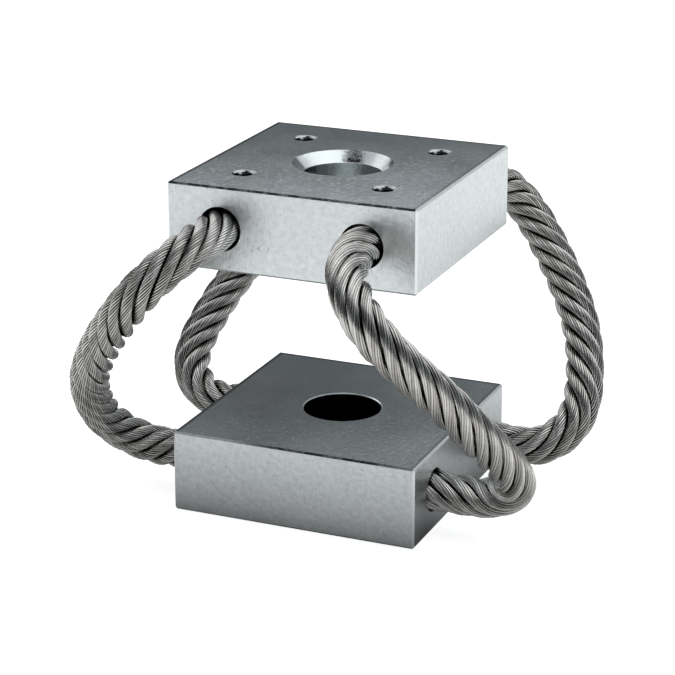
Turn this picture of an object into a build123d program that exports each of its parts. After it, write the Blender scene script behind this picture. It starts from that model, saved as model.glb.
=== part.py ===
from build123d import *

import math
import os

# Wire rope isolator: two square aluminium blocks held apart by four loops of stranded steel rope.
# Each loop leaves the top block by its front or back face and comes round the corner
# into the left or right face of the bottom block. The two blocks are alike: the bottom
# one is turned over and given a quarter turn.
# Origin under the middle of the bottom block, +Z up, the front looks along -Y.

# Blocks
block_side = 40.0
block_thick = 13.0
block_gap = 27.0
edge_break = 0.3

# Fixing hole through the middle of each block, countersunk on the outer face
fixing_hole_d = 12.3
countersink_d = 15.6
countersink_angle = 90.0
inner_rim_break = 0.2

# Rope, measured over its strands, and its loop
rope_d = 6.4
strand_d = 1.75
strand_count = 6
core_clearance = 0.1
lay_length = 22.7
rope_offset = 11.4
rope_grip = 15.0
loop_reach = 14.4

# How far the strands are turned round the rope's axis, in degrees: two ropes have
# a right-hand lay and two a left-hand lay
right_lay_turn = 6.0
left_lay_turn = 41.0

# Rope bores, drilled blind from the side faces
bore_clearance = 0.25
bore_spare_depth = 1.0
drill_point_angle = 118.0

# Crimp marks punched into the outer face over each rope end: a shallow dish with two pits,
# each pit given by its place across the dish and its diameter
crimp_from_rope_end = 6.5
crimp_dish_d = 3.5
crimp_dish_depth = 0.35
crimp_dish_angle = 90.0
crimp_pits = [(-1.0, 1.1), (0.45, 2.0)]
crimp_pit_depth = 1.2

# Where the loop's middle line passes: how far out from the rope bores along x and y,
# as shares of the full reach, and how far up, as a share of the height between the bores
loop_shape = [
    (0.05, 0.73, 0.974),
    (0.233, 0.968, 0.865),
    (0.465, 0.938, 0.71),
    (0.673, 0.792, 0.566),
    (0.854, 0.617, 0.409),
    (0.97, 0.38, 0.251),
    (0.954, 0.103, 0.078),
    (0.796, 0.009, 0.011),
]

# How finely the lay of the strands is followed
points_per_lay = 9
line_samples = 600
arc_share = 0.495

half_side = block_side / 2
bottom_bore_z = block_thick / 2
top_bore_z = block_thick + block_gap + block_thick / 2
bore_r = rope_d / 2 + bore_clearance
strand_ring_r = (rope_d - strand_d) / 2
core_r = strand_ring_r - strand_d / 2 - core_clearance
crimp_from_face = rope_grip - crimp_from_rope_end


def turned(profile):
    """A solid of revolution about Z from (radius, height) corners."""
    outline = Polyline(*[(radius, 0, height) for radius, height in profile], close=True)
    return revolve(make_face(outline), Axis.Z)


def fixing_hole():
    """The through hole with its countersink at the top and a small chamfer at the bottom."""
    hole_r = fixing_hole_d / 2
    sink_r = countersink_d / 2
    sink_depth = (sink_r - hole_r) / math.tan(math.radians(countersink_angle / 2))
    return turned([
        (0, 0),
        (hole_r + inner_rim_break, 0),
        (hole_r, inner_rim_break),
        (hole_r, block_thick - sink_depth),
        (sink_r, block_thick),
        (0, block_thick),
    ])


def rope_bore():
    """A blind drilled bore going down from the origin, with the drill's pointed end."""
    depth = rope_grip + bore_spare_depth
    point = bore_r / math.tan(math.radians(drill_point_angle / 2))
    return turned([(0, 0), (bore_r, 0), (bore_r, -depth), (0, -depth - point)])


def crimp_mark():
    """A shallow dish with sloping sides and two round pits side by side in its floor."""
    slope = crimp_dish_depth * math.tan(math.radians(crimp_dish_angle / 2))
    floor_r = crimp_dish_d / 2 - slope
    mark = turned([(0, 0), (crimp_dish_d / 2, 0), (floor_r, -crimp_dish_depth), (0, -crimp_dish_depth)])
    for across, diameter in crimp_pits:
        mark += Pos(across, 0, -crimp_pit_depth / 2) * Cylinder(diameter / 2, crimp_pit_depth)
    return mark


def block():
    """One block standing on z = 0 with its outer face up and its rope bores along y."""
    body = Pos(0, 0, block_thick / 2) * Box(block_side, block_side, block_thick)
    body = chamfer(body.edges(), edge_break)
    body -= fixing_hole()
    for side in (-1, 1):
        for end in (-1, 1):
            mouth = Location((side * rope_offset, end * half_side, block_thick / 2))
            body -= mouth * Rot(-90 * end, 0, 0) * rope_bore()
            mark_y = end * (half_side - crimp_from_face)
            body -= Pos(side * rope_offset, mark_y, block_thick) * crimp_mark()
    return body


def rope_line():
    """The middle line of the front right rope, from inside the top block to inside the bottom one."""
    top_mouth = Vector(rope_offset, -half_side, top_bore_z)
    bottom_mouth = Vector(half_side, -rope_offset, bottom_bore_z)
    out = half_side + loop_reach - rope_offset
    rise = top_bore_z - bottom_bore_z
    bends = [
        (rope_offset + u * out, -rope_offset - v * out, bottom_bore_z + w * rise)
        for u, v, w in loop_shape
    ]
    loop = Spline(
        top_mouth, *bends, bottom_mouth,
        tangents=[(0, -1, 0), (-1, 0, 0)],
        tangent_scalars=[1, 1],
    )
    top_end = Line(top_mouth + Vector(0, rope_grip, 0), top_mouth)
    bottom_end = Line(bottom_mouth, bottom_mouth - Vector(rope_grip, 0, 0))
    return Wire([top_end, loop, bottom_end])


def rope_frames(line):
    """Even stations along a line: place, direction, a side vector that never twists, and bend."""
    step = line.length / line_samples
    places = [line @ (i / line_samples) for i in range(line_samples + 1)]
    ways = [line % (i / line_samples) for i in range(line_samples + 1)]
    side = Vector(0, 0, 1)
    frames = []
    for i, (place, way) in enumerate(zip(places, ways)):
        side = (side - way * side.dot(way)).normalized()
        before, after = max(i - 1, 0), min(i + 1, line_samples)
        bend = (ways[after] - ways[before]) / (step * (after - before))
        frames.append((place, way, side, bend))
    return frames


def stations(frames, length):
    """The frames at even steps, a set number to each lay of the strands."""
    count = round(points_per_lay * length / lay_length)
    return [frames[round(i * line_samples / count)] for i in range(count + 1)]


def strand_points(frames, length, first_angle):
    """Corners of the path that one strand follows round the rope, right-handed.

    Where the rope bends, the strands crowd on the inside, so each is eased apart there
    by half the amount that the bend squeezes them together.
    """
    stops = stations(frames, length)
    turn = 2 * math.pi * length / lay_length / (len(stops) - 1)
    corner_ring_r = strand_ring_r / math.cos(turn / 2)
    points = []
    for i, (place, way, side, bend) in enumerate(stops):
        across = way.cross(side)
        angle = first_angle + turn * i
        inward = bend.dot(side) * math.sin(angle) - bend.dot(across) * math.cos(angle)
        angle += strand_ring_r * inward / 2
        points.append(place + (side * math.cos(angle) + across * math.sin(angle)) * corner_ring_r)
    return points


def core_points(frames, length):
    """Corners of the core's path: its two ends and the stations between the blocks."""
    stops = [place for place, way, side, bend in stations(frames, length)]
    in_block = math.ceil(rope_grip / length * (len(stops) - 1))
    return [stops[0], *stops[in_block + 1:-in_block - 1], stops[-1]]


def smooth_path(points):
    """Straight runs joined by tangent arcs, each as large as its shorter run allows."""
    radii = []
    for before, corner, after in zip(points, points[1:], points[2:]):
        run_in, run_out = corner - before, after - corner
        half_turn = math.radians(run_in.get_angle(run_out)) / 2
        radii.append(arc_share * min(run_in.length, run_out.length) / math.tan(half_turn))
    return FilletPolyline(*points, radius=radii)


def round_bar(points, radius):
    """A bar of round section along a path through the given corners."""
    path = smooth_path(points)
    section = Plane(origin=path @ 0, z_dir=path % 0) * Circle(radius)
    return sweep(section, path=path)


def rope(first_turn):
    """The front right rope as its core and its strands, all separate solids."""
    line = rope_line()
    frames = rope_frames(line)
    pieces = {"core": round_bar(core_points(frames, line.length), core_r)}
    for k in range(strand_count):
        first_angle = math.radians(first_turn) + 2 * math.pi * k / strand_count
        points = strand_points(frames, line.length, first_angle)
        pieces[f"strand_{k + 1}"] = round_bar(points, strand_d / 2)
    return pieces


def write(name, solid):
    """Saves one piece under its own name."""
    export_step(solid, f"parts/{name}.step")


os.makedirs("parts", exist_ok=True)

plain_block = block()
write("top_block", Pos(0, 0, block_thick + block_gap) * plain_block)
write("bottom_block", Pos(0, 0, block_thick) * Rot(0, 0, 90) * Rot(180, 0, 0) * plain_block)

for piece, front_right in rope(right_lay_turn).items():
    write(f"front_right_rope_{piece}", front_right)
    write(f"back_left_rope_{piece}", front_right.rotate(Axis.Z, 180))

for piece, left_handed in rope(left_lay_turn).items():
    write(f"front_left_rope_{piece}", mirror(left_handed, Plane.YZ))
    write(f"back_right_rope_{piece}", mirror(left_handed, Plane.XZ))
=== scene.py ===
import math
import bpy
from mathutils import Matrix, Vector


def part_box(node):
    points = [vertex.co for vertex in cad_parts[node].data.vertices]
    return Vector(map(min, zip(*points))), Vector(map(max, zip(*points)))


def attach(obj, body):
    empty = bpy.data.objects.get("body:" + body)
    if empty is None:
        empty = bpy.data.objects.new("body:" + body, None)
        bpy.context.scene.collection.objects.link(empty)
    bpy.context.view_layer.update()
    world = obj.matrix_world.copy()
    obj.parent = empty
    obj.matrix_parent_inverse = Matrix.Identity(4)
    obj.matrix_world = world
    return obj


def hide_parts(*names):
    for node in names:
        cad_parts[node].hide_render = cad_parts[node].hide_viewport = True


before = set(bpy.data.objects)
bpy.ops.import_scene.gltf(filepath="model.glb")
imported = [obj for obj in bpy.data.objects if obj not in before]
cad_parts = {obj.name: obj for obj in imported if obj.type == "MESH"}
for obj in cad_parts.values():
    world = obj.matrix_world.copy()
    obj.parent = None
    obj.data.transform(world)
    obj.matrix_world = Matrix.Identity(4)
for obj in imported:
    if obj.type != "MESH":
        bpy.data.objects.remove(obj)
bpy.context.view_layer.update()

from types import SimpleNamespace

import bpy
import numpy as np
from mathutils import Matrix, Vector

# Wire rope isolator: two square aluminium blocks joined by four loops of stranded steel rope.
# Lengths are in metres. The blocks and the rope cores are the frame's own solids, and each
# strand is dressed with a twisted bundle of wires that runs along the same line.

MM = 0.001

# The blocks, read from the frame
top_low, top_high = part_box("top_block")
bottom_low, bottom_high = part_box("bottom_block")
BLOCK_SIDE = top_high.x - top_low.x
BLOCK_THICK = bottom_high.z - bottom_low.z
HALF_SIDE = BLOCK_SIDE / 2
TOP_BORE_Z = (top_low.z + top_high.z) / 2
BOTTOM_BORE_Z = (bottom_low.z + bottom_high.z) / 2

# The blocks' holes and crimp marks, as in the part
FIXING_HOLE_R = 6.15 * MM
COUNTERSINK_R = 7.8 * MM
MARK_FROM_MIDDLE = 11.5 * MM
MARK_R = 1.75 * MM

# The rope and its loop, as in the part. Each row of the loop's shape is a place on its middle
# line: how far out to the right, how far out to the front and how high, as shares of the whole.
ROPE_D = 6.4 * MM
STRAND_D = 1.75 * MM
STRAND_COUNT = 6
LAY_LENGTH = 22.7 * MM
ROPE_OFFSET = 11.4 * MM
ROPE_GRIP = 15.0 * MM
LOOP_REACH = 14.4 * MM
LOOP_SHAPE = [
    (0.05, 0.73, 0.974),
    (0.233, 0.968, 0.865),
    (0.465, 0.938, 0.71),
    (0.673, 0.792, 0.566),
    (0.854, 0.617, 0.409),
    (0.97, 0.38, 0.251),
    (0.954, 0.103, 0.078),
    (0.796, 0.009, 0.011),
]
BEND_EASE = 3.0 * MM

# The wires of one strand that show, how deep each point of a wire's outline lies, and how far
# the bundle stays inside the part's strand
WIRE_COUNT = 12
WIRE_DEPTH = (1.0, 0.6, 0.12, 0.0, 0.12, 0.6)
POINTS_PER_WIRE = len(WIRE_DEPTH)
SKIN = 0.06 * MM
STRAND_RING_R = (ROPE_D - STRAND_D) / 2 - SKIN

# How finely the lines are drawn: points to a span of the loop, to a rope, and rings to a strand
SPAN_STEPS = 200
LINE_STEPS = 2400
RINGS = 150

# Each rope's side of the object along x and y, as seen from the front right one, how far its
# strands are turned round its axis, how far its wires lean from the strand, positive the way
# the strands lean on the rope, both in degrees, how dark the painted shade in the seams between
# its wires is, and how far the painted shade between its strands reaches up
ROPES = {
    "front_right": {"sides": (1, 1), "turn": 6.0, "lean": 14.0, "seam": 0.56, "gap": 0.93},
    "front_left": {"sides": (-1, 1), "turn": 41.0, "lean": -33.0, "seam": 1.0, "gap": 0.92},
    "back_right": {"sides": (1, -1), "turn": 41.0, "lean": -26.0, "seam": 0.95, "gap": 0.93},
    "back_left": {"sides": (-1, -1), "turn": 6.0, "lean": -26.0, "seam": 1.0, "gap": 0.86},
}


# Rope geometry

def clamped_curve(points, first_way, last_way, count):
    """Evenly sampled smooth curve through points, with its directions at both ends given."""
    points = np.array(points)
    gaps = np.linalg.norm(np.diff(points, axis=0), axis=1)
    size = len(points)
    rows = np.zeros((size, size))
    slopes = np.zeros((size, 3))
    rows[0, 0] = rows[-1, -1] = 1
    slopes[0], slopes[-1] = first_way, last_way
    for i in range(1, size - 1):
        before, after = gaps[i - 1], gaps[i]
        rows[i, i - 1:i + 2] = after, 2 * (before + after), before
        rise_in = (points[i] - points[i - 1]) * after / before
        rise_out = (points[i + 1] - points[i]) * before / after
        slopes[i] = 3 * (rise_in + rise_out)
    slopes = np.linalg.solve(rows, slopes)
    spans = []
    for i, gap in enumerate(gaps):
        t = np.linspace(0, 1, count, endpoint=False)[:, None]
        spans.append(
            points[i] * (1 + 2 * t) * (1 - t) ** 2
            + slopes[i] * gap * t * (1 - t) ** 2
            + points[i + 1] * t ** 2 * (3 - 2 * t)
            + slopes[i + 1] * gap * t ** 2 * (t - 1)
        )
    return np.vstack([*spans, points[-1:]])


def evenly(points, count, others=()):
    """The same line at even steps of length, with other lines read at the same places."""
    along = np.r_[0, np.cumsum(np.linalg.norm(np.diff(points, axis=0), axis=1))]
    stops = np.linspace(0, along[-1], count)
    read = [
        np.stack([np.interp(stops, along, line[:, i]) for i in range(3)], 1)
        for line in (points, *others)
    ]
    return (*read, along[-1])


def rope_line():
    """The middle line of the front right rope, from inside the top block to inside the bottom."""
    out = HALF_SIDE + LOOP_REACH - ROPE_OFFSET
    rise = TOP_BORE_Z - BOTTOM_BORE_Z
    top_mouth = (ROPE_OFFSET, -HALF_SIDE, TOP_BORE_Z)
    bottom_mouth = (HALF_SIDE, -ROPE_OFFSET, BOTTOM_BORE_Z)
    bends = [
        (ROPE_OFFSET + u * out, -ROPE_OFFSET - v * out, BOTTOM_BORE_Z + w * rise)
        for u, v, w in LOOP_SHAPE
    ]
    mouths_and_bends = [top_mouth, *bends, bottom_mouth]
    loop = clamped_curve(mouths_and_bends, (0, -1, 0), (-1, 0, 0), SPAN_STEPS)
    top_end = np.array([(ROPE_OFFSET, ROPE_GRIP - HALF_SIDE, TOP_BORE_Z)])
    bottom_end = np.array([(HALF_SIDE - ROPE_GRIP, -ROPE_OFFSET, BOTTOM_BORE_Z)])
    return evenly(np.vstack([top_end, loop, bottom_end]), LINE_STEPS)


def rope_frames(line, length):
    """Direction, a side vector that never twists, the one across both, and the bend."""
    step = length / (len(line) - 1)
    ways = np.gradient(line, step, axis=0)
    ways /= np.linalg.norm(ways, axis=1)[:, None]
    sides = np.zeros_like(line)
    side = np.array([0.0, 0.0, 1.0])
    for i, way in enumerate(ways):
        side = side - way * (side @ way)
        side /= np.linalg.norm(side)
        sides[i] = side
    bend = np.gradient(ways, step, axis=0)
    width = round(BEND_EASE / step)
    ease = np.ones(width) / width
    bend = np.stack([np.convolve(bend[:, i], ease, "same") for i in range(3)], 1)
    return ways, sides, np.cross(ways, sides), bend


def strand_route(rope, first_angle):
    """The line that one strand follows, the rope's middle and way beside it, and its length."""
    line, length, ways, sides, across, bend = rope
    along = np.linspace(0, length, len(line))
    angle = first_angle + 2 * math.pi * along / LAY_LENGTH
    inward = (bend * sides).sum(1) * np.sin(angle) - (bend * across).sum(1) * np.cos(angle)
    angle = angle + STRAND_RING_R * inward / 2
    ring = sides * np.cos(angle)[:, None] + across * np.sin(angle)[:, None]
    return evenly(line + ring * STRAND_RING_R, RINGS, (line, ways))


def bundle_section():
    """The outline of a strand cut across: one bump for each wire on its outside."""
    wire_share = math.sin(math.pi / WIRE_COUNT)
    wire_ring_r = STRAND_D / 2 / (1 + wire_share)
    wire_r = wire_ring_r * wire_share
    half_bump = math.pi / 2 + math.pi / WIRE_COUNT
    curve = bpy.data.curves.new("bundle_section", "CURVE")
    curve.dimensions = "2D"
    spline = curve.splines.new("POLY")
    spline.points.add(WIRE_COUNT * POINTS_PER_WIRE - 1)
    spline.use_cyclic_u = True
    for i, point in enumerate(spline.points):
        wire, place = divmod(i, POINTS_PER_WIRE)
        middle = 2 * math.pi * wire / WIRE_COUNT
        turn = middle + half_bump * (2 * place / POINTS_PER_WIRE - 1)
        x = wire_ring_r * math.cos(middle) + wire_r * math.cos(turn)
        y = wire_ring_r * math.sin(middle) + wire_r * math.sin(turn)
        point.co = (x, y, 0, 1)
    section = bpy.data.objects.new("bundle_section", curve)
    bpy.context.scene.collection.objects.link(section)
    return section


def bundle_mesh(name, route, length, lean, section):
    """The strand's bundle of wires as a mesh along its route."""
    curve = bpy.data.curves.new(name, "CURVE")
    curve.dimensions = "3D"
    curve.bevel_mode = "OBJECT"
    curve.bevel_object = section
    curve.use_fill_caps = True
    spline = curve.splines.new("POLY")
    spline.points.add(len(route) - 1)
    twist = math.tan(math.radians(lean)) / (STRAND_D / 2) * length / (len(route) - 1)
    for i, (point, place) in enumerate(zip(spline.points, route)):
        point.co = (*place, 1)
        point.tilt = twist * i
    laid = bpy.data.objects.new(name, curve)
    bpy.context.scene.collection.objects.link(laid)
    graph = bpy.context.evaluated_depsgraph_get()
    mesh = bpy.data.meshes.new_from_object(laid.evaluated_get(graph), depsgraph=graph)
    bpy.data.objects.remove(laid)
    return mesh


def mark_wires(mesh, middle, ways, seam, gap, seed):
    """Stores how deep each point lies between wires and between strands, and a wire's shade."""
    around = WIRE_COUNT * POINTS_PER_WIRE
    index = np.arange(len(mesh.vertices))
    ring = np.minimum(index // around, RINGS - 1)
    groove = np.array(WIRE_DEPTH)[index % around % POINTS_PER_WIRE] * seam
    shades = np.random.default_rng(seed).random(WIRE_COUNT)
    shade = shades[index % around // POINTS_PER_WIRE]
    points = np.zeros(len(index) * 3)
    mesh.vertices.foreach_get("co", points)
    off = points.reshape(-1, 3) - middle[ring]
    off -= ways[ring] * (off * ways[ring]).sum(1)[:, None]
    sunk = (ROPE_D / 2 - np.linalg.norm(off, axis=1)) / STRAND_D * gap
    for label, values in (("groove", groove), ("wire_shade", shade), ("sunk", sunk)):
        layer = mesh.attributes.new(label, "FLOAT", "POINT")
        layer.data.foreach_set("value", values.astype(np.float32))


def make_ropes(material):
    """Every strand of every rope, each standing for its own solid in the frame."""
    section = bundle_section()
    line, length = rope_line()
    rope = (line, length, *rope_frames(line, length))
    for corner, look in ROPES.items():
        x_way, y_way = look["sides"]
        for k in range(STRAND_COUNT):
            first_angle = 2 * math.pi * k / STRAND_COUNT + math.radians(look["turn"])
            route, middle, ways, strand_length = strand_route(rope, first_angle)
            name = f"{corner}_rope_wires_{k + 1}"
            mesh = bundle_mesh(name, route, strand_length, look["lean"], section)
            mark_wires(mesh, middle, ways, look["seam"], look["gap"], seed=k)
            mesh.transform(Matrix.Diagonal((x_way, y_way, 1, 1)))
            if x_way * y_way < 0:
                mesh.flip_normals()
            mesh.shade_smooth()
            mesh.materials.append(material)
            piece = bpy.data.objects.new(name, mesh)
            bpy.context.scene.collection.objects.link(piece)
            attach(piece, "root")
            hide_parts(f"{corner}_rope_strand_{k + 1}")
    bpy.data.objects.remove(section)


# Shader maths

class Signal:
    """A shader socket that can be written into sums."""

    def __init__(self, shader, socket):
        self.shader = shader
        self.socket = socket

    def __abs__(self):
        return self.shader.sum("ABSOLUTE", self, 0.0)

    def __add__(self, other):
        return self.shader.sum("ADD", self, other)

    __radd__ = __add__

    def __sub__(self, other):
        return self.shader.sum("SUBTRACT", self, other)

    def __rsub__(self, other):
        return self.shader.sum("SUBTRACT", other, self)

    def __mul__(self, other):
        return self.shader.sum("MULTIPLY", self, other)

    __rmul__ = __mul__

    def __pow__(self, other):
        return self.shader.sum("POWER", self, other)

    def greater(self, other):
        """The larger of the two."""
        return self.shader.sum("MAXIMUM", self, other)

    def from_pair(self, middle):
        """How far this is past the nearer of a mirrored pair, middle either side of zero."""
        return self - self.shader.sum("SIGN", self, 0.0) * middle


class Shader:
    """A material or a world under construction, with one surface node."""

    def __init__(self, owner, surface="Principled BSDF"):
        owner.use_nodes = True
        self.owner = owner
        self.tree = owner.node_tree
        self.surface = self.tree.nodes[surface]

    def node(self, kind, settings=None, inputs=None, output=0):
        """Adds a node, sets it, feeds its sockets and gives an output back, or a list of them."""
        node = self.tree.nodes.new(kind)
        for key, value in (settings or {}).items():
            setattr(node, key, value)
        for key, value in (inputs or {}).items():
            self.feed(node.inputs[key], value)
        if isinstance(output, tuple):
            return [Signal(self, node.outputs[name]) for name in output]
        return Signal(self, node.outputs[output])

    def feed(self, socket, value):
        """Links a signal to a socket, or sets the socket to a plain value."""
        if isinstance(value, Signal):
            self.tree.links.new(value.socket, socket)
        else:
            socket.default_value = value

    def sum(self, operation, first, second):
        """A Math node on two values."""
        return self.node("ShaderNodeMath", {"operation": operation}, {0: first, 1: second})

    def place(self):
        """Object coordinates."""
        return self.node("ShaderNodeTexCoord", output="Object")

    def stretched(self, place, scale):
        """Coordinates stretched by a scale along each axis."""
        return self.node("ShaderNodeMapping", inputs={"Vector": place, "Scale": scale})

    def split(self, vector):
        """The x, y and z of a vector."""
        inputs = {"Vector": vector}
        return self.node("ShaderNodeSeparateXYZ", inputs=inputs, output=("X", "Y", "Z"))

    def noise(self, place, scale, detail=3.0, roughness=0.5):
        """Noise between 0 and 1, scale in lumps per metre."""
        inputs = {"Vector": place, "Scale": scale, "Detail": detail, "Roughness": roughness}
        return self.node("ShaderNodeTexNoise", inputs=inputs)

    def ramp(self, signal, low, high, to_low=0.0, to_high=1.0):
        """The signal between low and high spread to a new range, clamped."""
        inputs = {"Value": signal, "From Min": low, "From Max": high}
        inputs |= {"To Min": to_low, "To Max": to_high}
        return self.node("ShaderNodeMapRange", inputs=inputs)

    def near(self, signal, middle, reach, core):
        """1 where the signal is within core of a middle, fading to 0 at reach."""
        return self.ramp(abs(signal - middle), reach, core)

    def mix_value(self, share, first, second):
        """A value between two values, the share held between 0 and 1."""
        return self.node("ShaderNodeMix", inputs={0: share, 2: first, 3: second})

    def mix(self, share, first, second):
        """A colour between two colours, the share held between 0 and 1."""
        settings = {"data_type": "RGBA"}
        inputs = {"Factor": share, 6: first, 7: second}
        return self.node("ShaderNodeMix", settings, inputs, output=2)

    def bump(self, height, strength, distance):
        """A surface normal leaned by a height."""
        inputs = {"Height": height, "Strength": strength, "Distance": distance}
        return self.node("ShaderNodeBump", inputs=inputs)

    def attribute(self, label):
        """A value stored on the mesh."""
        return self.node("ShaderNodeAttribute", {"attribute_name": label}, output="Fac")

    def finish(self, **inputs):
        """Feeds the surface's own sockets, named in words joined by underscores."""
        for key, value in inputs.items():
            self.feed(self.surface.inputs[key.replace("_", " ")], value)
        return self.owner


def metal(name):
    """A new material to build."""
    return Shader(bpy.data.materials.new(name))


def distance(across, up):
    """The distance to a point that lies so far across and so far up."""
    return (across * across + up * up) ** 0.5


# Block aluminium

BLACK = (0, 0, 0, 1)
WHITE = (1, 1, 1, 1)
ALUMINIUM_DULL = (0.375, 0.40, 0.406, 1)
ALUMINIUM_BRIGHT = (0.94, 0.99, 1.0, 1)
CONE_BRIGHT = (0.90, 0.945, 0.96, 1)
PIT_GREY = (0.25, 0.27, 0.27, 1)
SCUFF_GREY = (0.12, 0.13, 0.13, 1)
LOW_RIGHT_SHADE_GREY = (0.07, 0.076, 0.078, 1)
EDGE_SHADE = (0.05, 0.056, 0.058, 1)
EDGE_HIGHLIGHT = (0.98, 1.0, 1.0, 1)
DARK_REFLECTION = (0.03, 0.032, 0.034, 1)
HOLE_BLACK = (0.01, 0.011, 0.012, 1)
DENT_HIGHLIGHT = (0.95, 0.99, 1.0, 1)
DENT_SHADE = (0.02, 0.022, 0.024, 1)

# How fine each grain in the metal is, in lumps per metre, and how far two of them are drawn out
SAW_LINES = 3400
HAMMERING = 1300
MOTTLE = 1050
BLOTCHES = 110
SCARS = 1000
PITS = 1700
NICKS = 1500
EDGE_WEAR = 620
CONE_REFLECTION_EDGE = 2600
CONE_REFLECTION_GRAINS = 3300
TOOL_LINES = 420
SAW_STRETCH = (1, 1, 0.13)
TOOL_STRETCH = (1, 1, 0.06)

# How light the sides are, how rough the metal is, how deep its dents go, and how much less like
# a mirror it is where highlights are painted
SIDE_TONE = 0.76
ROUGHNESS = 0.31
DENT_DEPTH = 0.4 * MM
HIGHLIGHT_DULL = 0.8

# The painted reflections of the ropes beside the front bores: how far right of a bore's middle,
# how far above it, and how large. The painted dark reflection in the countersink, its middle and
# its size. The width of a scuff's line.
ROPE_REFLECTION_RIGHT = 3.0 * MM
ROPE_REFLECTION_UP = 1.5 * MM
ROPE_REFLECTION_R = 5.5 * MM
CONE_REFLECTION_X = -1.0 * MM
CONE_REFLECTION_Y = 6.9 * MM
CONE_REFLECTION_R = 2.2 * MM
SCUFF_LINE = 0.14 * MM

# How wide the painted shade line inside the upper edges is at the back and left, and on the right
RIM_WIDTH = 1.0 * MM
RIGHT_RIM_WIDTH = 0.9 * MM
RIM_FADE = 0.3 * MM

# Faint ring scuffs on the front of the top block, each an x, a z and a radius
SCUFFS = (
    (-5.4 * MM, 44.8 * MM, 0.6 * MM),
    (-4.2 * MM, 44.3 * MM, 0.75 * MM),
    (-9.9 * MM, 42.6 * MM, 0.4 * MM),
    (-7.9 * MM, 47.2 * MM, 0.35 * MM),
    (12.6 * MM, 42.8 * MM, 0.5 * MM),
)

# What differs between the blocks: outer_z is the height of the face with the countersink, tilt
# how far the painted light and shade on the top run sideways, back and front the painted tone
# there, the lower, left and right edge how dark the painted shade on those edges is, and the
# rest how strong each mark is, painted shade, highlights and reflections among them
BLOCK_LOOKS = {
    "top_block": SimpleNamespace(
        name="aluminium_top", outer_z=top_high.z, tilt=0.35, back=0.04, front=0.96,
        lower_edge=0.0, left_edge=1.0, right_edge=1.0,
        flecks=0.8, low_right_shade=0.0, rope_reflection=0.16, scuffs=0.5, cone_shade=1.0, cone_reflection=0.95,
        hole_light=0.7, hole_shade=0.0,
    ),
    "bottom_block": SimpleNamespace(
        name="aluminium_bottom", outer_z=bottom_low.z, tilt=0.9, back=0.0, front=0.66,
        lower_edge=1.0, left_edge=0.0, right_edge=0.45,
        flecks=0.2, low_right_shade=0.7, rope_reflection=0.0, scuffs=0.0, cone_shade=0.0, cone_reflection=0.0,
        hole_light=0.0, hole_shade=0.97,
    ),
}


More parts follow.
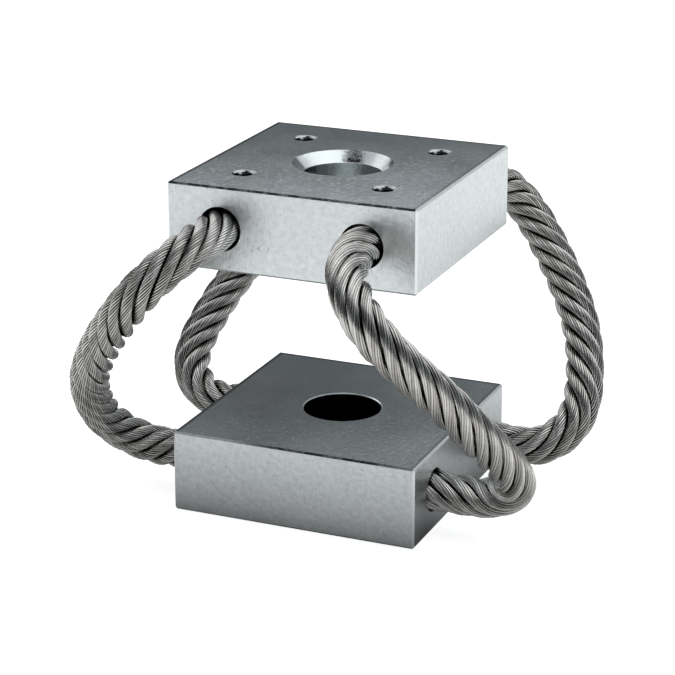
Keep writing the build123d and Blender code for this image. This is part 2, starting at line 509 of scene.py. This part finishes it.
class BlockMetal(Shader):
    """A block's aluminium: sawn sides, hammered faces, dark edges of painted shade and the marks
    of its making, with painted light, highlights and reflections.
    """

    def __init__(self, look):
        super().__init__(bpy.data.materials.new(look.name))
        self.look = look
        self.at = self.place()
        self.x, self.y, self.z = self.split(self.at)
        self.facing = self.split(self.node("ShaderNodeNewGeometry", output="Normal"))
        self.lean_x, self.lean_y, self.lean_z = (way ** 2 for way in self.facing)
        self.level = self.ramp(self.lean_z, 0.5, 0.9)
        self.slope = self.lean_z * (1 - self.lean_z) * 4
        self.to_front = self.ramp(self.facing[1], -0.5, -0.9)
        self.from_axis = distance(self.x, self.y)
        hole_edges = (COUNTERSINK_R + 0.2 * MM, COUNTERSINK_R + 0.1 * MM)
        bore_edges = (FIXING_HOLE_R + 0.1 * MM, FIXING_HOLE_R + 0.02 * MM)
        self.in_hole = self.ramp(self.from_axis, *hole_edges)
        self.in_bore = self.ramp(self.from_axis, *bore_edges)
        self.in_cone = self.in_hole * self.slope
        self.lines = self.noise(self.stretched(self.at, SAW_STRETCH), SAW_LINES, 3, 0.6)
        self.hammered = self.noise(self.at, HAMMERING, 3, 0.6)
        self.mottle = self.noise(self.at, MOTTLE, 4, 0.65)
        self.blotch = self.noise(self.at, BLOTCHES, 3, 0.55)
        self.nicks = self.ramp(self.noise(self.at, NICKS, 3, 0.7), 0.58, 0.66)
        # Where the painted light on the top runs from dark at the back to light at the front
        tilted = self.y - self.x * look.tilt
        self.toward_front = self.ramp(tilted, 24 * MM, -24 * MM) ** 1.6
        self.colour = None

    def lay(self, share, colour):
        """Lays a colour over what is there."""
        self.colour = self.mix(share, self.colour, colour)

    def bare_metal(self):
        """The metal's own tone, with painted light and shade on the top: lighter toward the
        front, darker toward the back.
        """
        side = SIDE_TONE + (self.lines - 0.5) * 0.22 + (self.mottle - 0.5) * 0.9
        # Painted light and shade on the top, from the back tone to the front tone
        spread = self.look.front - self.look.back
        face = self.toward_front * spread + self.look.back + (self.hammered - 0.5) * 0.4
        tone = self.mix_value(self.level, side, face) + (self.blotch - 0.5) * 0.3
        self.colour = self.mix(tone, ALUMINIUM_DULL, ALUMINIUM_BRIGHT)

    def wear_marks(self):
        """Pits and scars on the sides, painted shade low on the right toward the front, bright
        flecks on the top.
        """
        pits = self.ramp(self.noise(self.at, PITS, 2, 0.5), 0.66, 0.72)
        scars = self.noise(self.at, SCARS, 2, 0.6)
        scar = self.ramp(abs(scars - 0.5), 0.012, 0.0) * self.ramp(self.mottle, 0.52, 0.6)
        self.lay((pits * 0.45 + scar * 0.3) * (1 - self.level), PIT_GREY)
        # Painted shade on the right side, darkest low down toward the front
        to_right = self.ramp(self.facing[0], 0.5, 0.9)
        low_right_shade = to_right * self.ramp(self.y, -4 * MM, -15 * MM)
        self.lay(low_right_shade * self.ramp(self.z, 11 * MM, 1 * MM) * self.look.low_right_shade, LOW_RIGHT_SHADE_GREY)
        # Bright flecks of the hammered top, painted glints that fade toward the back with the
        # painted light
        self.lay(self.nicks * self.level * self.toward_front * self.look.flecks, WHITE)

    def front_marks(self):
        """Painted reflections of the ropes above and right of the front bores, and faint ring
        scuffs.
        """
        # Painted reflection of each front rope: a dark patch above and right of its bore
        beside = self.x.from_pair(ROPE_OFFSET) - ROPE_REFLECTION_RIGHT
        above = self.z - TOP_BORE_Z - ROPE_REFLECTION_UP
        rope_reflection = self.ramp(distance(beside, above), ROPE_REFLECTION_R, 1.5 * MM)
        self.lay(rope_reflection * self.to_front * self.look.rope_reflection, DARK_REFLECTION)
        broken = self.ramp(self.lines + self.mottle, 1.0, 1.08)
        for middle_x, middle_z, radius in SCUFFS:
            off_ring = abs(distance(self.x - middle_x, self.z - middle_z) - radius)
            ring = self.ramp(off_ring, SCUFF_LINE, 0.03 * MM) * broken
            self.lay(ring * self.to_front * self.look.scuffs, SCUFF_GREY)

    def edges(self):
        """Painted shade in dark lines along the edges, and painted highlights in bright ones,
        given back, on the right and below.
        """
        look, x, level = self.look, self.x, self.level
        wear = self.ramp(self.noise(self.at, EDGE_WEAR, 3, 0.7), 0.48, 0.58)
        shown = self.ramp(self.facing[2], 0.0, 0.3).greater(look.lower_edge)
        on_right = self.ramp(x, HALF_SIDE - 0.4 * MM, HALF_SIDE - 0.3 * MM)
        # Painted shade: dark lines on the chamfers, broken by wear
        dark = self.slope * shown * (1 - self.in_hole) * (1 - wear * 0.25) * (1 - on_right)
        dark = dark * self.ramp(x, -11 * MM, -2 * MM, look.left_edge, 1.0)
        dark = dark * self.ramp(x, 13 * MM, 19 * MM, 1.0, look.right_edge)
        back_or_left = self.y.greater(-1 * x)
        rim_from, right_rim_from = HALF_SIDE - RIM_WIDTH, HALF_SIDE - RIGHT_RIM_WIDTH
        rim = self.ramp(back_or_left, rim_from, rim_from + RIM_FADE) * 0.75
        right_rim = self.ramp(x, right_rim_from, right_rim_from + RIM_FADE) * 0.35
        self.lay(dark.greater(rim.greater(right_rim) * level * shown), EDGE_SHADE)
        # Painted highlights: bright lines on the corners, the right chamfer and under the top
        # edge
        corner = self.lean_x * self.lean_y * 4 * (1 - self.in_hole)
        right_line = self.slope * shown * on_right
        upper_z = max(look.outer_z, BLOCK_THICK)
        under = self.ramp(self.z, upper_z - 0.72 * MM, upper_z - 0.55 * MM)
        under_line = under * (1 - level) * (1 - self.slope) * wear
        self.lay(corner + right_line + under_line * 0.8, EDGE_HIGHLIGHT)
        return right_line.greater(under_line * 0.5)

    def countersink(self):
        """The bright cone, with painted shade at its left and right, and a grainy painted dark
        reflection at its back.
        """
        x, y, from_axis = self.x, self.y, self.from_axis
        self.lay(self.in_cone, CONE_BRIGHT)
        # Painted shade on the cone's left and right
        left = self.ramp(y, 0.2 * MM, -0.2 * MM) * self.ramp(x, -3 * MM, -4 * MM)
        right = self.ramp(from_axis, 6.8 * MM, 7.4 * MM) * self.ramp(x, 5.6 * MM, 6.5 * MM)
        shade = (left * 0.68).greater(right * 0.85)
        self.lay(shade * self.in_cone * self.look.cone_shade, DARK_REFLECTION)
        # Painted dark reflection at the back of the cone, grainy, with a ragged edge and darkest
        # toward the bore
        from_cone_reflection = distance(x - CONE_REFLECTION_X, y - CONE_REFLECTION_Y)
        ragged = self.noise(self.at, CONE_REFLECTION_EDGE, 3, 0.7) - 0.5
        grains = self.ramp(self.noise(self.at, CONE_REFLECTION_GRAINS, 2, 0.6), 0.40, 0.62, 0.74, 1.05)
        deep = self.ramp(from_axis + ragged * 1.5 * MM, 6.9 * MM, 6.5 * MM) * 0.25
        core = self.ramp(from_cone_reflection, 1.7 * MM, 0.5 * MM) * 0.07
        cone_reflection = self.ramp(from_cone_reflection + ragged * 2.4 * MM, CONE_REFLECTION_R, 1.0 * MM) * self.in_cone
        self.lay(cone_reflection * (grains - 0.1 + deep + core) * self.look.cone_reflection, DARK_REFLECTION)

    def fixing_hole(self):
        """The hole's wall: streaked by the tool, with painted shade left and right, or painted
        black as shade.
        """
        self.lay(self.in_bore * self.look.hole_light, ALUMINIUM_BRIGHT)
        tool_lines = self.noise(self.stretched(self.at, TOOL_STRETCH), TOOL_LINES, 3, 0.6)
        streaks = self.ramp(tool_lines, 0.42, 0.58, 0.12, 0.0)
        # Painted shade toward the left and right ends of the bore, over dark tool streaks
        ends = self.ramp(abs(self.x), 4.2 * MM, 5.8 * MM, 0.0, 0.8)
        streaks_and_shade = self.in_bore * (1 - self.lean_z) * streaks.greater(ends)
        # In the bottom block the whole bore wall is painted black as shade
        self.lay(streaks_and_shade.greater(self.in_bore * self.look.hole_shade), HOLE_BLACK)

    def crimp_marks(self):
        """The four dents, painted shade black inside; the painted highlights on their far walls
        and lips are given back.
        """
        x, y = self.x.from_pair(ROPE_OFFSET), self.y.from_pair(MARK_FROM_MIDDLE)
        sunk = abs(self.z - self.look.outer_z)
        radius = distance(x, y)
        inside = self.ramp(radius, MARK_R + 0.02 * MM, MARK_R - 0.06 * MM)
        inside = inside * self.ramp(sunk, 1.9 * MM, 1.7 * MM)
        lip = self.ramp(radius, MARK_R + 0.38 * MM, MARK_R + 0.24 * MM) * (1 - inside)
        lip = lip * self.ramp(y, 0.6 * MM, 1.0 * MM) * self.ramp(sunk, 0.4 * MM, 0.3 * MM)
        notch = self.near(x, -0.2 * MM, 0.6 * MM, 0.1 * MM)
        far_wall = self.ramp(self.slope, 0.9, 1.0) * self.ramp(y, -0.1 * MM, 0.2 * MM)
        far_wall = far_wall * (1 - notch) * self.ramp(sunk, 0.24 * MM, 0.17 * MM)
        ridge = self.near(x + y * 0.42, -0.56 * MM, 0.36 * MM, 0.12 * MM)
        spot = self.ramp(distance(x - 0.45 * MM, y - 0.2 * MM), 0.7 * MM, 0.2 * MM)
        hollow = self.ramp(y - notch * 0.4 * MM, 1.7 * MM, 1.5 * MM)
        black = (1 - far_wall) * (hollow * (1 - (ridge + spot) * 0.5))
        # Painted highlights on the dents' far walls and on a lip round each dent
        self.lay(inside.greater(lip), DENT_HIGHLIGHT)
        # Painted shade in the hollow of each dent
        self.lay(inside * black, DENT_SHADE)
        return (inside * (1 - black)).greater(lip)

    def surface_finish(self, painted_highlights):
        """How rough and how dented the metal is, and less like a mirror where highlights are
        painted.
        """
        rough = ROUGHNESS + self.level * 0.10 + self.in_cone * 0.08
        rough = rough + (self.hammered - 0.5) * 0.12 + (self.blotch - 0.5) * 0.12
        side_height = self.lines * 0.06 + self.mottle * 0.12
        face_height = (self.hammered * 0.6 + self.nicks * 0.3) * self.toward_front
        height = self.mix_value(self.level, side_height, face_height)
        normal = self.bump(height, 1.0, DENT_DEPTH)
        return self.finish(
            Base_Color=self.colour, Metallic=1 - painted_highlights * HIGHLIGHT_DULL,
            Roughness=rough, Normal=normal,
        )


def block_aluminium(look):
    """One block's aluminium, laid down in the order in which its marks cover each other."""
    shader = BlockMetal(look)
    shader.bare_metal()
    shader.wear_marks()
    shader.front_marks()
    bright_lines = shader.edges()
    shader.countersink()
    shader.fixing_hole()
    bright_dents = shader.crimp_marks()
    return shader.surface_finish(bright_dents.greater(bright_lines))


# Rope steel

WIRE_DARK = (0.42, 0.41, 0.39, 1)
WIRE_LIGHT = (0.85, 0.84, 0.81, 1)
WIRE_HIGHLIGHT = (1.0, 0.99, 0.96, 1)
SHADE_AND_GREASE_BLACK = (0.012, 0.012, 0.011, 1)
CORE_DARK = (0.10, 0.10, 0.09, 1)
CORE_LIGHT = (0.22, 0.21, 0.20, 1)
WIRE_WEAR = 700
GREASE_AND_SHADE = 260
CORE_WEAR = 900


def rope_steel():
    """Drawn steel wire: bright crowns, painted shade dark in the seams between wires, and painted
    shade with grease black between strands.
    """
    shader = metal("rope_steel")
    place = shader.place()
    wear = shader.noise(place, WIRE_WEAR, 3, 0.6)
    grease_and_shade = shader.noise(place, GREASE_AND_SHADE, 3, 0.6)
    tone = shader.ramp(shader.attribute("wire_shade") * 0.5 + wear * 0.5, 0.25, 0.75)
    highlighted, shadowed = front_left_mouth(shader, place)
    # Painted highlight on the front left rope outside its upper bore
    wire = shader.mix(highlighted * 0.95, shader.mix(tone, WIRE_DARK, WIRE_LIGHT), WIRE_HIGHLIGHT)
    # Painted shade in the seams between wires, patchy with grease
    seam = shader.ramp(shader.attribute("groove"), 0.2, 0.7)
    seam = seam * shader.ramp(grease_and_shade, 0.35, 0.6, 0.6, 1.0)
    # Painted shade with grease, black between strands and deeper into the rope
    gap = shader.ramp(shader.attribute("sunk") + (grease_and_shade - 0.5) * 0.55, 0.41, 0.56)
    # Painted shade and shadow: the seams, the gaps and the front left bore's mouth
    colour = shader.mix(seam.greater(gap).greater(shadowed * 0.8), wire, SHADE_AND_GREASE_BLACK)
    rough = shader.ramp(wear, 0.3, 0.7, 0.16, 0.28)
    return shader.finish(Base_Color=colour, Metallic=1.0, Roughness=rough)


def front_left_mouth(shader, place):
    """Where the front left rope has a painted highlight outside its upper bore, and painted
    shadow in it.
    """
    x, y, z = shader.split(place)
    left = shader.ramp(x, 0.0, -6 * MM)
    highlighted = left * shader.near(y, -22 * MM, 6.5 * MM, 3 * MM)
    highlighted = highlighted * shader.ramp(z, 49.5 * MM, 47.5 * MM) * shader.ramp(z, 41 * MM, 43 * MM)
    shadowed = left * shader.near(y, -19 * MM, 3.6 * MM, 1.6 * MM)
    return highlighted, shadowed * shader.ramp(z, 46.5 * MM, 49 * MM)


def core_steel():
    """The core strand, coloured dark as painted shade between the outer ones."""
    shader = metal("core_steel")
    # Painted shade: the core's steel is coloured near black
    colour = shader.mix(shader.noise(shader.place(), CORE_WEAR), CORE_DARK, CORE_LIGHT)
    return shader.finish(Base_Color=colour, Metallic=1.0, Roughness=0.5)


def paint(solid, material):
    """Puts a material in all of a solid's slots."""
    for slot in solid.material_slots:
        slot.material = material


def dress_solids():
    """Gives the frame's own blocks and cores their metals."""
    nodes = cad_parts
    for block, look in BLOCK_LOOKS.items():
        paint(nodes[block], block_aluminium(look))
    core = core_steel()
    for corner in ROPES:
        paint(nodes[f"{corner}_rope_core"], core)


# Studio

# The camera's angles are in degrees, its lens in millimetres
CAMERA_TURN = 22.976
CAMERA_TILT = 19.198
CAMERA_PLACE = (133.56 * MM, -317.03 * MM, 144.43 * MM)
CAMERA_LENS = 123.63
CAMERA_SENSOR = 36
CAMERA_NEAR = 10 * MM

# The floor's side, how bright it looks to the camera and in reflections, how far from the
# blocks' sides the painted shade in its reflections reaches, and the floor's own tones
FLOOR_SIZE = 4.0
FLOOR_FILL = 0.82
FLOOR_MIRROR = 0.79
FLOOR_CLEAR = 50 * MM
FLOOR_WHITE = (0.8, 0.8, 0.8, 1)
FLOOR_GREY = (0.2, 0.2, 0.2, 1)

# How bright the room looks in the metal: low down, half way up and overhead, and at the least.
# Low down it loses toward the back and gains toward the right, and half way up it gains toward
# a side that lies so many degrees round from the right to the back.
ROOM_LOW = 0.13
ROOM_MIDDLE = 0.11
ROOM_TOP = 0.40
ROOM_LEAST = 0.03
BACK_LOSS = 0.10
RIGHT_GAIN = 0.06
SIDE_GAIN = 0.30
SIDE_TURN = 40.0
ROOM_TINT = (0.93, 1.0, 1.05, 1)


def make_camera():
    """The camera, in front of the object, above it and to its right."""
    data = bpy.data.cameras.new("camera")
    data.sensor_width = CAMERA_SENSOR
    data.lens = CAMERA_LENS
    data.clip_start = CAMERA_NEAR
    camera = bpy.data.objects.new("camera", data)
    camera.location = CAMERA_PLACE
    camera.rotation_euler = (math.radians(90 - CAMERA_TILT), 0, math.radians(CAMERA_TURN))
    bpy.context.scene.collection.objects.link(camera)
    bpy.context.scene.camera = camera


def make_floor():
    """A white floor that keeps the shadow, with painted shade in its reflections close to the
    object and painted light toward the right.
    """
    bpy.ops.mesh.primitive_plane_add(size=FLOOR_SIZE, location=(0, 0, 0))
    floor = bpy.context.object
    floor.name = "floor"
    shader = metal("floor_white")
    rays = ("Is Camera Ray", "Is Glossy Ray")
    seen, mirrored = shader.node("ShaderNodeLightPath", output=rays)
    x, y = shader.split(shader.place())[:2]
    away = abs(x).greater(abs(y)) - HALF_SIDE
    # Painted shade: the floor's reflections grow dark close to the blocks, and a little lighter
    # toward the right
    clear = shader.ramp(away, -2 * MM, FLOOR_CLEAR) ** 0.75
    to_right = shader.ramp(x, -80 * MM, 80 * MM, 0.97, 1.03)
    ground = shader.mix(mirrored, FLOOR_WHITE, FLOOR_GREY)
    glow = seen * FLOOR_FILL + mirrored * clear * to_right * FLOOR_MIRROR
    glow = shader.mix(glow, BLACK, WHITE)
    shader.finish(Base_Color=ground, Roughness=0.9, Emission_Color=glow, Emission_Strength=1.0)
    floor.data.materials.append(shader.owner)


def area_lamp(name, place, size, power):
    """A square soft lamp that looks at the object's middle."""
    data = bpy.data.lights.new(name, "AREA")
    data.size = size
    data.energy = power
    lamp = bpy.data.objects.new(name, data)
    lamp.location = place
    aim = Vector((0, 0, TOP_BORE_Z / 2)) - Vector(place)
    lamp.rotation_euler = aim.to_track_quat("-Z", "Y").to_euler()
    bpy.context.scene.collection.objects.link(lamp)


def make_world():
    """A room that is white to the eye, and in reflections dim low down and bright overhead."""
    world = bpy.data.worlds.new("room")
    bpy.context.scene.world = world
    shader = Shader(world, "Background")
    right, back, height = shader.split(shader.node("ShaderNodeTexCoord"))
    turn = math.radians(SIDE_TURN)
    side = right * math.cos(turn) + back * math.sin(turn)
    low = ROOM_LOW - back * BACK_LOSS + right * RIGHT_GAIN
    middle = (ROOM_MIDDLE + side * SIDE_GAIN).greater(ROOM_LEAST)
    dim = shader.mix_value(shader.ramp(height, 0.02, 0.26), low, middle)
    dim = shader.mix_value(shader.ramp(height, 0.6, 0.9), dim, ROOM_TOP)
    seen = shader.node("ShaderNodeLightPath", output="Is Camera Ray")
    strength = dim + seen * (1 - dim)
    shader.finish(Strength=strength, Color=shader.mix(seen, ROOM_TINT, WHITE))


def make_studio():
    """Camera, floor, lamps and room."""
    make_camera()
    make_floor()
    area_lamp("softbox_overhead", place=(0.16, 0.12, 0.75), size=1.05, power=2.8)
    area_lamp("lamp_left", place=(-0.75, 0.18, 0.48), size=0.5, power=1.0)
    make_world()
    bpy.context.scene.view_settings.view_transform = "Standard"


make_studio()
dress_solids()
make_ropes(rope_steel())
